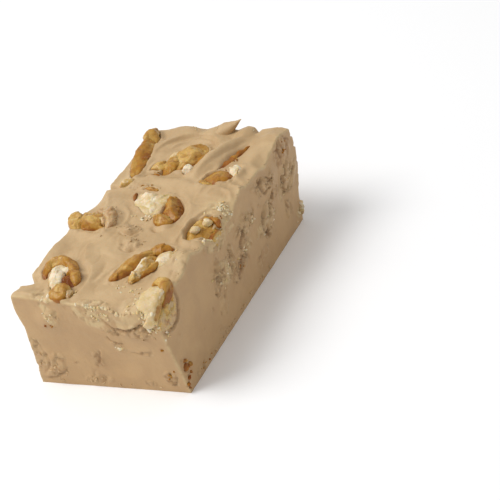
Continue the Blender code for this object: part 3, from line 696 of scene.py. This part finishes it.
def ellipse_distance(u, v, x, y, wide, high, degrees):
    """The distance from (x, y), as 1 on an ellipse this wide and high each way, turned by these degrees."""
    cosine, sine = math.cos(math.radians(degrees)), math.sin(math.radians(degrees))
    right, up = u - x, v - y
    return np.hypot((cosine * right + sine * up) / wide, (cosine * up - sine * right) / high)


def swell(u, v, x, y, wide, high, degrees, height):
    """Height times the square of 1 - r squared, out to the ellipse where r is 1."""
    r = ellipse_distance(u, v, x, y, wide, high, degrees)
    return height * np.clip(1.0 - r * r, 0.0, None) ** 2


def gap_to_curve(u, v, knots):
    """The distance to a curve, the share of its length at the nearest point, and whether that is on the
    curve's left."""
    line = curve_through(knots, np.linspace(0.0, 1.0, 25))[:, :2]
    start, step = line[:-1], np.diff(line, axis=0)
    from_start = np.stack([u, v], axis=1)[:, None] - start
    along = np.clip((from_start * step).sum(axis=2) / (step * step).sum(axis=1), 0.0, 1.0)
    gap = from_start - along[:, :, None] * step
    distance = np.hypot(gap[:, :, 0], gap[:, :, 1])
    nearest = distance.argmin(axis=1)
    row = np.arange(len(u))
    left = step[nearest, 0] * gap[row, nearest, 1] - step[nearest, 1] * gap[row, nearest, 0] > 0.0
    return distance[row, nearest], (nearest + along[row, nearest]) / len(start), left


def fold(u, v, knots, height, left_width, right_width):
    """A bell-shaped ridge along a curve: height times exp(-(d / width) squared), where d is the distance
    to the curve and each side has its own width. It fades out towards both ends."""
    distance, share, left = gap_to_curve(u, v, knots)
    fade = 1.0 - np.abs(2.0 * share - 1.0) ** 4
    return height * fade * np.exp(-((distance / np.where(left, left_width, right_width)) ** 2))


def nut_seats(u, v):
    """The fudge's rise around the nuts: it sinks below each lobe, out to where the lobe's sides pass
    through the fudge, and laps up against them."""
    bed, rim = np.zeros((2, len(u)))
    steps, thirds = np.linspace(0.0, 1.0, 25), np.linspace(0.0, 1.0, 3)
    for one in [one for lobes in NUTS.values() for one in lobes]:
        distance, share, _ = gap_to_curve(u, v, one["points"])
        middle = np.interp(share, steps, curve_through(one["points"], steps)[:, 2])
        below = np.clip((SEAT_LEVEL - middle) / np.interp(share, thirds, one["up"]), 0.0, 0.9)
        taper = np.sqrt(1.0 - np.abs(2.0 * share - 1.0) ** 3) * np.sqrt(1.0 - below * below)
        outside = distance - taper * np.interp(share, thirds, one["across"])
        bed = np.maximum(bed, smooth((-0.4 - outside) / 0.9))
        rim = np.maximum(rim, np.exp(-((outside / 1.1) ** 2)) * min(1.0, one["up"][1] / 2.4))
    flat = np.stack([u, v, np.zeros(len(u))], axis=1)
    uneven = 0.65 + 0.5 * noise(flat, 3.0, 8, 2)
    return NUT_RIM * rim * (1.0 - bed) * uneven - NUT_BED * bed


def top_rise(u, v):
    """How far the top stands above its plane: the sum of its swells and folds and the nuts' seats."""
    rise = sum(swell(u, v, *one) for one in TOP_SWELLS) + sum(fold(u, v, *one) for one in TOP_FOLDS)
    return rise + nut_seats(u, v)


def torn(u, v, patches, seed):
    """Relief, painted shade in the crevices, roughness, cream and brown of a side's torn patches. Within each
    wavering ellipse lie lumps, the cells nearest to scattered points. Each is domed, lifted and tilted by its
    own amount, with a crevice where the two nearest points are equally far, and that crevice is also painted
    dark as shade."""
    flat = np.stack([u, v, np.full(len(u), 3.0 * seed)], axis=1)
    waver = noise(flat, 4.0, seed, 2)
    fine = noise(flat, 1.2, seed + 1, 2)
    marks = np.zeros((5, len(u)))
    for number, (*ellipse, depth, pale, brown) in enumerate(patches):
        r = ellipse_distance(u, v, *ellipse) * (1.0 + 0.35 * waver)
        near = np.flatnonzero(r < 1.15)
        if not len(near):
            continue
        draw = np.random.default_rng(50 * seed + number)
        reach = 1.2 * max(ellipse[2:4]) + 1.0
        spots = draw.uniform(-reach, reach, (int((1.4 * reach / LUMP) ** 2) + 3, 2)) + ellipse[:2]
        lift, pale_lump, brown_lump = draw.uniform(0.0, 1.0, (3, len(spots)))
        tilt = draw.normal(0.0, 0.2, (len(spots), 2))
        step = np.stack([u[near], v[near]], axis=1)[:, None] - spots
        step = step - STRETCH * (step @ STREAK)[:, :, None] * STREAK
        gaps = np.hypot(step[:, :, 0], step[:, :, 1]) * (1.0 + 0.2 * fine[near])[:, None]
        gaps = gaps + draw.uniform(0.0, 1.0, len(spots))
        first = gaps.argmin(axis=1)
        nearest, second = np.partition(gaps, 1, axis=1)[:, :2].T
        crevice = np.exp(-(((second - nearest) / 0.45) ** 2)) * smooth(1.6 * fine[near] + 0.4)
        inside = smooth((1.1 - r[near]) / 0.3)
        slope = (step[np.arange(len(near)), first] * tilt[first]).sum(axis=1)
        shape = 0.6 * (lift[first] - 0.4) + slope + 0.2 * fine[near] - 0.8 * crevice
        dome = 0.35 * np.clip(1.0 - nearest / LUMP, 0.0, 1.0)
        marks[0, near] += depth * inside * (shape + dome)
        strength = min(1.0, depth)
        # Painted shade: the crevices between lumps are darkened.
        marks[1, near] = np.maximum(marks[1, near], inside * crevice * strength)
        marks[2, near] = np.maximum(marks[2, near], inside * strength)
        marks[3, near] = np.maximum(marks[3, near], inside * pale * smooth(2.0 * pale_lump[first]))
        marks[4, near] = np.maximum(marks[4, near], inside * brown * smooth(3.0 * brown_lump[first] - 1.2))
    return marks


def bar_skin(share):
    """The skin at each share (right, back, up) of the bar, and its marks. A box with shifted corners and
    rounded edges is moved up by the top's rise, outwards by each side's swells and torn patches, and
    everywhere by a little noise, so that the moves meet at the edges."""
    box = (share - 0.5) * BAR
    edge = EDGE_ROUND * smooth(share[:, 2] * 8.0) * (1.0 + 0.4 * noise(box, 5.0, 1, 2))
    edge = np.clip(edge, 0.02, None)[:, None]
    core = np.clip(box, edge - BAR / 2, BAR / 2 - edge)
    out = (box - core) / np.linalg.norm(box - core, axis=1)[:, None]
    points = core + out * edge + (0.0, 0.0, BAR[2] / 2)
    for corner, shift in CORNER_SHIFTS.items():
        near = np.where(np.array(corner) == 1, share, 1.0 - share)
        points = points + near.prod(axis=1)[:, None] * np.array(shift)
    x, y, z = points.T
    depth = (1.0 - share[:, 2]) * BAR[2]
    near_top = smooth(1.0 - depth / TOP_REACH)
    high = np.flatnonzero(near_top)
    moved = points.copy()
    on_top = smooth(1.0 - depth / 1.2)
    marks = np.zeros((4, len(x)))
    relief, *top_marks = torn(x[high], y[high], TORN_PATCHES["top"], 60)
    moved[high, 2] += top_rise(x[high], y[high]) * near_top[high] + relief * on_top[high]
    marks[:, high] = np.array(top_marks) * on_top[high]
    for number, (name, axis, end) in enumerate(
        (("right", 0, 1), ("left", 0, 0), ("front", 1, 0), ("back", 1, 1))
    ):
        inward = (1.0 - share[:, axis] if end else share[:, axis]) * BAR[axis]
        close = np.flatnonzero(inward < SIDE_REACH)
        along, up, inward = points[close, 1 - axis], z[close], inward[close]
        relief, *side_marks = torn(along, up, TORN_PATCHES[name], 20 + 10 * number)
        near_side = smooth(1.0 - inward / 1.6)
        swells = sum(swell(along, up, *one) for one in SIDE_SWELLS[name])
        outward = swells * smooth(1.0 - inward / SIDE_REACH) + relief * near_side
        moved[close, axis] += outward if end else -outward
        strays = CRACK_STRAY * noise(points[close], 1.6, 40 + number, 2)
        for curve, deep, width in SIDE_CRACKS[name]:
            crack = fold(along + strays, up - strays, curve, near_side, width, width)
            lip = fold(along + strays, up - strays, curve, near_side, 5.0 * width, 0.4 * width)
            inset = deep * (crack - LIP * lip)
            moved[close, axis] -= inset if end else -inset
            # Painted shade: each crack is darkened along its groove.
            side_marks[0] = np.maximum(side_marks[0], min(1.0, deep) * crack)
        ends = np.minimum(share[close, 1 - axis], 1.0 - share[close, 1 - axis]) * BAR[1 - axis]
        # Painted highlight: a light line along the top edge and the end edges of each side, carried by the
        # cream mark.
        rim = np.maximum(smooth(1.0 - depth[close] / 1.2), smooth(1.0 - ends / 1.1))
        side_marks[2] = np.maximum(side_marks[2], rim * smooth(1.0 - inward / 1.1))
        marks[:, close] = np.maximum(marks[:, close], np.array(side_marks) * near_side)
    for *ellipse, pale, brown in TOP_TINTS:
        tint = smooth(1.3 - ellipse_distance(x, y, *ellipse)) * on_top
        marks[2] = np.maximum(marks[2], tint * pale)
        marks[3] = np.maximum(marks[3], tint * brown)
    coarse = 0.22 * noise(points, 6.0, 2, 2) + 0.08 * noise(points, 1.7, 3, 2)
    coarse = coarse - 0.14 * np.exp(-((noise(points, 9.0, 6, 2) / 0.05) ** 2))
    fine = 0.08 * noise(points, 5.0, 4, 2) + 0.035 * noise(points, 1.0, 5)
    bumpy = coarse * on_top + fine * (1.0 - on_top)
    level = np.array((1.0, 1.0, 0.0)) * (share[:, 2:] == 0.0) + (share[:, 2:] > 0.0)
    moved += out * level * bumpy[:, None]
    moved[:, 2] = np.maximum(moved[:, 2], 0.0)
    return moved, dict(zip(("cut", "crevice_shade", "rough", "cream", "brown"), (1.0 - on_top, *marks)))


def lattice(cells, sizes, edge_lines):
    """The shares of a box's skin where the lines of a lattice cross, close together beside its edges,
    and the faces between them. The base is one flat face."""
    lines = []
    for count, size in zip(cells, sizes):
        near = np.array(edge_lines) / size
        inner = np.linspace(near[-1], 1.0 - near[-1], count + 1)[1:-1]
        lines.append(np.concatenate([near, inner, (1.0 - near)[::-1]]))
    last = np.array([len(line) - 1 for line in lines])
    index = np.indices(last + 1).reshape(3, -1).T
    between = (index > 0) & (index < last)
    used = ~between[:, :2].all(axis=1) | (index[:, 2] == last[2])
    number = np.where(used, np.cumsum(used) - 1, -1).reshape(last + 1)
    share = np.stack([line[index[used, axis]] for axis, line in enumerate(lines)], axis=1)
    sheets = (number[0], number[-1][::-1], number[:, 0][::-1], number[:, -1], number[:, :, -1].T)
    faces = [
        np.stack([s[:-1, :-1], s[:-1, 1:], s[1:, 1:], s[1:, :-1]], axis=-1).reshape(-1, 4) for s in sheets
    ]
    rim = number[:, :, 0]
    base = np.concatenate((rim[:, 0], rim[-1, 1:], rim[-2::-1, -1], rim[0, -2:0:-1]))
    return share, [*np.concatenate(faces).tolist(), base[::-1].tolist()]


TOP_LIGHT = (0.535, 0.372, 0.198)
TOP_DARK = (0.470, 0.316, 0.160)
CUT_LIGHT = (0.500, 0.322, 0.160)
CUT_DARK = (0.450, 0.283, 0.137)
# Cream of the fudge, also used for a painted highlight along the bar's edges.
CREAM_AND_EDGE_HIGHLIGHT = (0.590, 0.440, 0.230)
BROWN = (0.300, 0.150, 0.055)
# Painted shade for the cracks and for the crevices between lumps.
CREVICE_SHADE_COLOUR = (0.180, 0.092, 0.038)
# Light flecks on the torn patches: partly pale crumbs of fudge, partly painted highlight on the lumps.
CRUMB_FLECK_AND_HIGHLIGHT = (0.600, 0.440, 0.260)
SPECK = (0.330, 0.205, 0.100)


def fudge_finish():
    """Satin butter fudge: patches a shade darker and lighter, a fine grain, cream and brown marks beside the
    nuts, with some of the brown being painted shade, a painted highlight along the edges, painted shade in
    the cracks and between the lumps of the torn patches, and light flecks on those patches that are partly
    crumbs and partly painted highlight."""
    constants = {
        "Subsurface Weight": 0.1,
        "Subsurface Radius": (1.0, 0.6, 0.35),
        "Subsurface Scale": 0.0009,
        "Specular IOR Level": 0.35,
    }
    material, place, feed = new_finish("butter_fudge", constants)
    rough = place.mark("rough")
    clouds = place.noise(9.0, 3.0, 0.6).step(0.3, 0.7)
    grain = place.noise(0.7, 3.0)
    base = place.mark("cut").mix(clouds.mix(TOP_DARK, TOP_LIGHT), clouds.mix(CUT_DARK, CUT_LIGHT))
    # Real cream patches, together with a painted highlight along the edges.
    base = (place.mark("cream") * place.noise(2.2, 2.0).step(0.25, 0.6) * 0.8).mix(base, CREAM_AND_EDGE_HIGHLIGHT)
    base = (place.mark("brown") * place.noise(1.5, 3.0).step(0.3, 0.65) * 0.7).mix(base, BROWN)
    # Painted shade in the cracks and crevices.
    base = (place.mark("crevice_shade") * place.noise(1.8, 2.0).step(0.3, 0.6) * 0.85).mix(base, CREVICE_SHADE_COLOUR)
    # Light flecks on the torn patches, partly crumbs and partly painted highlight.
    base = (rough * place.noise(1.3, 3.0).step(0.5, 0.68) * 0.5).mix(base, CRUMB_FLECK_AND_HIGHLIGHT)
    base = (grain.step(0.6, 0.72) * 0.15).mix(base, SPECK)
    relief = place.noise(1.8, 4.0) * (0.7 + rough * 1.4) + grain * (0.25 + rough * 0.8)
    feed(Base_Color=base, Roughness=0.5 + clouds * 0.12, Normal=place.bump(relief, 0.16))
    return material


fudge_material = fudge_finish()
share, bar_faces = lattice(CELLS, BAR, EDGE_LINES)
bar_points, bar_marks = bar_skin(share)
bar = add_piece("fudge_bar", bar_points, bar_faces, bar_marks, fudge_material, "fudge")
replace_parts(bar, "fudge_block")
peak_shell = lobe_skin(**PEAK, chips=3, seed=7)
peak_points, peak_faces, _ = joined([peak_shell], RINGS, SECTORS)
add_piece("fudge_peak", peak_points, peak_faces, {}, fudge_material, "fudge")

# --- Crumbs ----------------------------------------------------------------------------------------
# Grains of nut, flakes of its skin and crumbs of fudge that the knife and the spoon left, lying on the
# fudge where the nuts and the cut edges are.

CRUMB_RINGS = 7
CRUMB_SECTORS = 9
# The least place along and up that a crumb of the sides may have, so that none lies past the bar's edges.
LEAST_PLACE = (-49.0, 1.5)
# Scatters of crumbs on a face of the bar: their middle, how far they spread each way, how many, and size.
CRUMBS = {
    "nut_grains": (
        ("top", (25, -8.4, 0.6, 3.2, 34, 0.5), (23.6, 2.6, 1.7, 1.1, 34, 0.55),
         (-1, -4.4, 2, 0.7, 14, 0.5), (17.5, -24.5, 2, 2.4, 12, 0.4), (12, -38, 2.4, 1.2, 12, 0.45),
         (4, -48.6, 3.6, 0.7, 24, 0.55), (-14, -47.8, 1.2, 0.8, 7, 0.45), (-5, -43.6, 0.8, 1, 6, 0.5),
         (23, -48.6, 1.6, 0.5, 22, 0.55)),
        ("front", (23, 30, 1.2, 2, 26, 0.5)),
        ("top", (16.8, -45, 0.7, 2.4, 9, 0.45), (-11.5, 24, 2, 2, 6, 0.35), (-5, 46, 8, 2, 6, 0.3)),
        ("right", (13, 23.4, 0.9, 0.6, 4, 0.5), (-10, 18.6, 3.4, 2.2, 16, 0.45),
         (5.5, 17.6, 2.2, 1.6, 7, 0.45), (24, 16, 4, 2.2, 12, 0.4), (41, 21, 2.6, 3, 9, 0.4),
         (48, 3.4, 1.6, 1.2, 8, 0.6), (49.2, 4.4, 0.4, 1, 4, 1.2), (-45.6, 24.6, 1.4, 1, 8, 0.45)),
        ("front", (5, 31, 3.6, 1.2, 14, 0.4), (8, 17.4, 1, 0.8, 5, 0.5), (-14, 28, 1.2, 1.6, 6, 0.4)),
        ("left", (-30, 20, 3, 2.4, 9, 0.4), (22, 15, 3.2, 2.6, 9, 0.4)),
        ("back", (-14, 22, 3, 2.4, 9, 0.4), (18, 26, 2.4, 2, 7, 0.4)),
    ),
    "skin_flakes": (
        ("top", (-10, 19.6, 1.8, 0.9, 7, 0.45), (15, 31, 0.8, 4, 9, 0.4), (-9, 11.6, 2.4, 0.7, 7, 0.4),
         (24.5, -4, 1.2, 1.6, 7, 0.4)),
        ("right", (-44.4, 8, 0.8, 1.8, 7, 0.95), (-46.4, 2.6, 0.6, 0.8, 3, 0.8),
         (-36, 1.6, 2.4, 0.8, 6, 0.45), (-1, 13.6, 2.2, 1.6, 5, 0.4), (41.5, 31, 2.2, 2.4, 5, 0.4)),
        ("front", (23.4, 18.5, 0.2, 0.3, 2, 0.55), (21.8, 6.6, 0.6, 1.8, 5, 0.6),
         (-15, 24, 1.2, 0.5, 3, 0.45)),
        ("left", (-44, 9, 0.9, 1.6, 5, 0.5), (38, 25, 2, 2, 5, 0.4)),
        ("back", (-18, 7, 2, 1.2, 5, 0.4)),
    ),
    "fudge_crumbs": (
        ("top", (15, -48.4, 3, 0.6, 9, 0.5), (25.6, 18, 0.3, 12, 9, 0.4), (25, -26, 0.6, 5, 8, 0.4),
         (-14.5, -6, 2.4, 2, 9, 0.5), (2, -18, 2.4, 1.6, 8, 0.45), (-3, -11, 2.2, 1.6, 8, 0.45),
         (18.5, 23.5, 1.2, 1.6, 5, 0.4), (-17, -6.5, 1.6, 1.2, 6, 0.4), (-10.8, -10, 0.9, 3, 10, 0.6)),
        ("right", (-10, 1.7, 22, 0.4, 26, 0.5)),
        ("front", (0, 1.7, 14, 0.4, 12, 0.45)),
        ("right", (48.4, 3, 1.4, 1.2, 10, 0.9), (26, 28, 3.6, 1.8, 8, 0.5), (9.5, 25, 3, 1.4, 7, 0.5)),
        ("front", (-20, 8, 3, 2.6, 8, 0.5), (-5, 3, 3.2, 1, 6, 0.5), (18, 25.4, 2.6, 1.4, 7, 0.5)),
        ("left", (4, 24, 3.4, 1.8, 8, 0.5), (-12, 12, 2.6, 2, 7, 0.5)),
        ("back", (10, 12, 2.6, 2, 7, 0.5)),
    ),
}


def face_shares(face, across, up):
    """The shares of the bar at these places of one of its faces."""
    if face == "top":
        return np.stack([across / BAR[0] + 0.5, up / BAR[1] + 0.5, np.ones(len(across))], axis=1)
    end = np.full(len(across), float(face in ("right", "back")))
    height = up / BAR[2]
    if face in ("right", "left"):
        return np.stack([end, across / BAR[1] + 0.5, height], axis=1)
    return np.stack([across / BAR[0] + 0.5, end, height], axis=1)


def scattered(scatters, tones, flesh, seed):
    """Small chipped shells, one at each place of the scatters, half sunk in the bar's skin."""
    draw = np.random.default_rng(seed)
    shells = []
    for face, x, y, wide, high, count, size in [(face, *row) for face, *rows in scatters for row in rows]:
        places = draw.normal((x, y), (wide, high), (count, 2))
        if face != "top":
            places = np.maximum(places, LEAST_PLACE)
        spots, _ = bar_skin(np.clip(face_shares(face, *places.T), 0.0, 1.0))
        for spot in spots:
            radius = size * draw.uniform(0.6, 1.5)
            step = draw.normal(size=3)
            step *= radius / np.linalg.norm(step)
            widths = radius * draw.uniform(0.5, 0.95, 3)
            tone = tuple(np.full(3, draw.uniform(*tones)))
            shells.append(lobe_skin(
                (spot - step, spot, spot + step), tuple(widths), tuple(0.8 * widths), tone, flesh,
                rings=CRUMB_RINGS, sectors=CRUMB_SECTORS, seed=int(draw.integers(1e6)),
            ))
    return joined(shells, CRUMB_RINGS, CRUMB_SECTORS)


add_piece("nut_grains", *scattered(CRUMBS["nut_grains"], (-0.2, 0.3), 0.8, 31), nut_material, "nut")
add_piece("skin_flakes", *scattered(CRUMBS["skin_flakes"], (0.6, 1.2), 0.0, 32), nut_material, "nut")
crumb_points, crumb_faces, _ = scattered(CRUMBS["fudge_crumbs"], (0.0, 0.1), 0.0, 33)
add_piece("fudge_crumbs", crumb_points, crumb_faces, {}, fudge_material, "fudge")

# --- Floor, light and camera -----------------------------------------------------------------------
# A plain pale floor, one large soft light high on the left in front, and a white room around.

CAMERA_AT = np.array((237.8, -307.7, 259.3))
CAMERA_BACK = (33.87, 32.76)
CAMERA_ROLL = -16.18
FOCAL_LENGTH = 100.0
FLOOR_REACH = 4.0
KEY_AT = (-0.62, -0.38, 1.02)
KEY_POWER = 11.5
ROOM_LIGHT = 0.6

floor_mesh = bpy.data.meshes.new("floor")
floor_corners = [(x * FLOOR_REACH, y * FLOOR_REACH, 0.0) for x, y in ((-1, -1), (1, -1), (1, 1), (-1, 1))]
floor_mesh.from_pydata(floor_corners, [], [(0, 1, 2, 3)])
floor = bpy.data.objects.new("floor", floor_mesh)
bpy.context.scene.collection.objects.link(floor)
floor_constants = {"Roughness": 0.9, "Specular IOR Level": 0.1}
floor_finish, floor_place, feed_floor = new_finish("pale_floor", floor_constants)
feed_floor(Base_Color=floor_place.noise(300.0, 1.0).mix((0.93, 0.93, 0.935), (0.95, 0.95, 0.95)))
floor_mesh.materials.append(floor_finish)

world = bpy.data.worlds.new("room")
world.use_nodes = True
world.node_tree.nodes["Background"].inputs["Color"].default_value = (1.0, 1.0, 1.0, 1.0)
world.node_tree.nodes["Background"].inputs["Strength"].default_value = ROOM_LIGHT
bpy.context.scene.world = world


def aimed(place, back, roll):
    """The matrix of a thing at this place whose back points this way, turned about that by the roll."""
    right = np.cross((0.0, 0.0, 1.0), back)
    right /= np.linalg.norm(right)
    across = right * math.cos(roll) + np.cross(back, right) * math.sin(roll)
    columns = np.stack([across, np.cross(back, across), back, place], axis=1)
    return Matrix([*columns.tolist(), (0.0, 0.0, 0.0, 1.0)])


key = bpy.data.lights.new("key", "AREA")
key.size = 0.7
key.energy = KEY_POWER
key_light = bpy.data.objects.new("key", key)
key_light.matrix_world = aimed(KEY_AT, np.array(KEY_AT) / np.linalg.norm(KEY_AT), 0.0)
bpy.context.scene.collection.objects.link(key_light)

azimuth, elevation = np.radians(CAMERA_BACK)
level = math.cos(elevation)
camera_back = np.array((level * math.sin(azimuth), -level * math.cos(azimuth), math.sin(elevation)))
camera = bpy.data.objects.new("camera", bpy.data.cameras.new("camera"))
camera.matrix_world = aimed((CAMERA_AT + PLACE) * MM, camera_back, math.radians(CAMERA_ROLL))
camera.data.sensor_width = 36.0
camera.data.lens = FOCAL_LENGTH
camera.data.clip_start = 0.01
bpy.context.scene.collection.objects.link(camera)
bpy.context.scene.camera = camera
bpy.context.scene.view_settings.view_transform = "Standard"
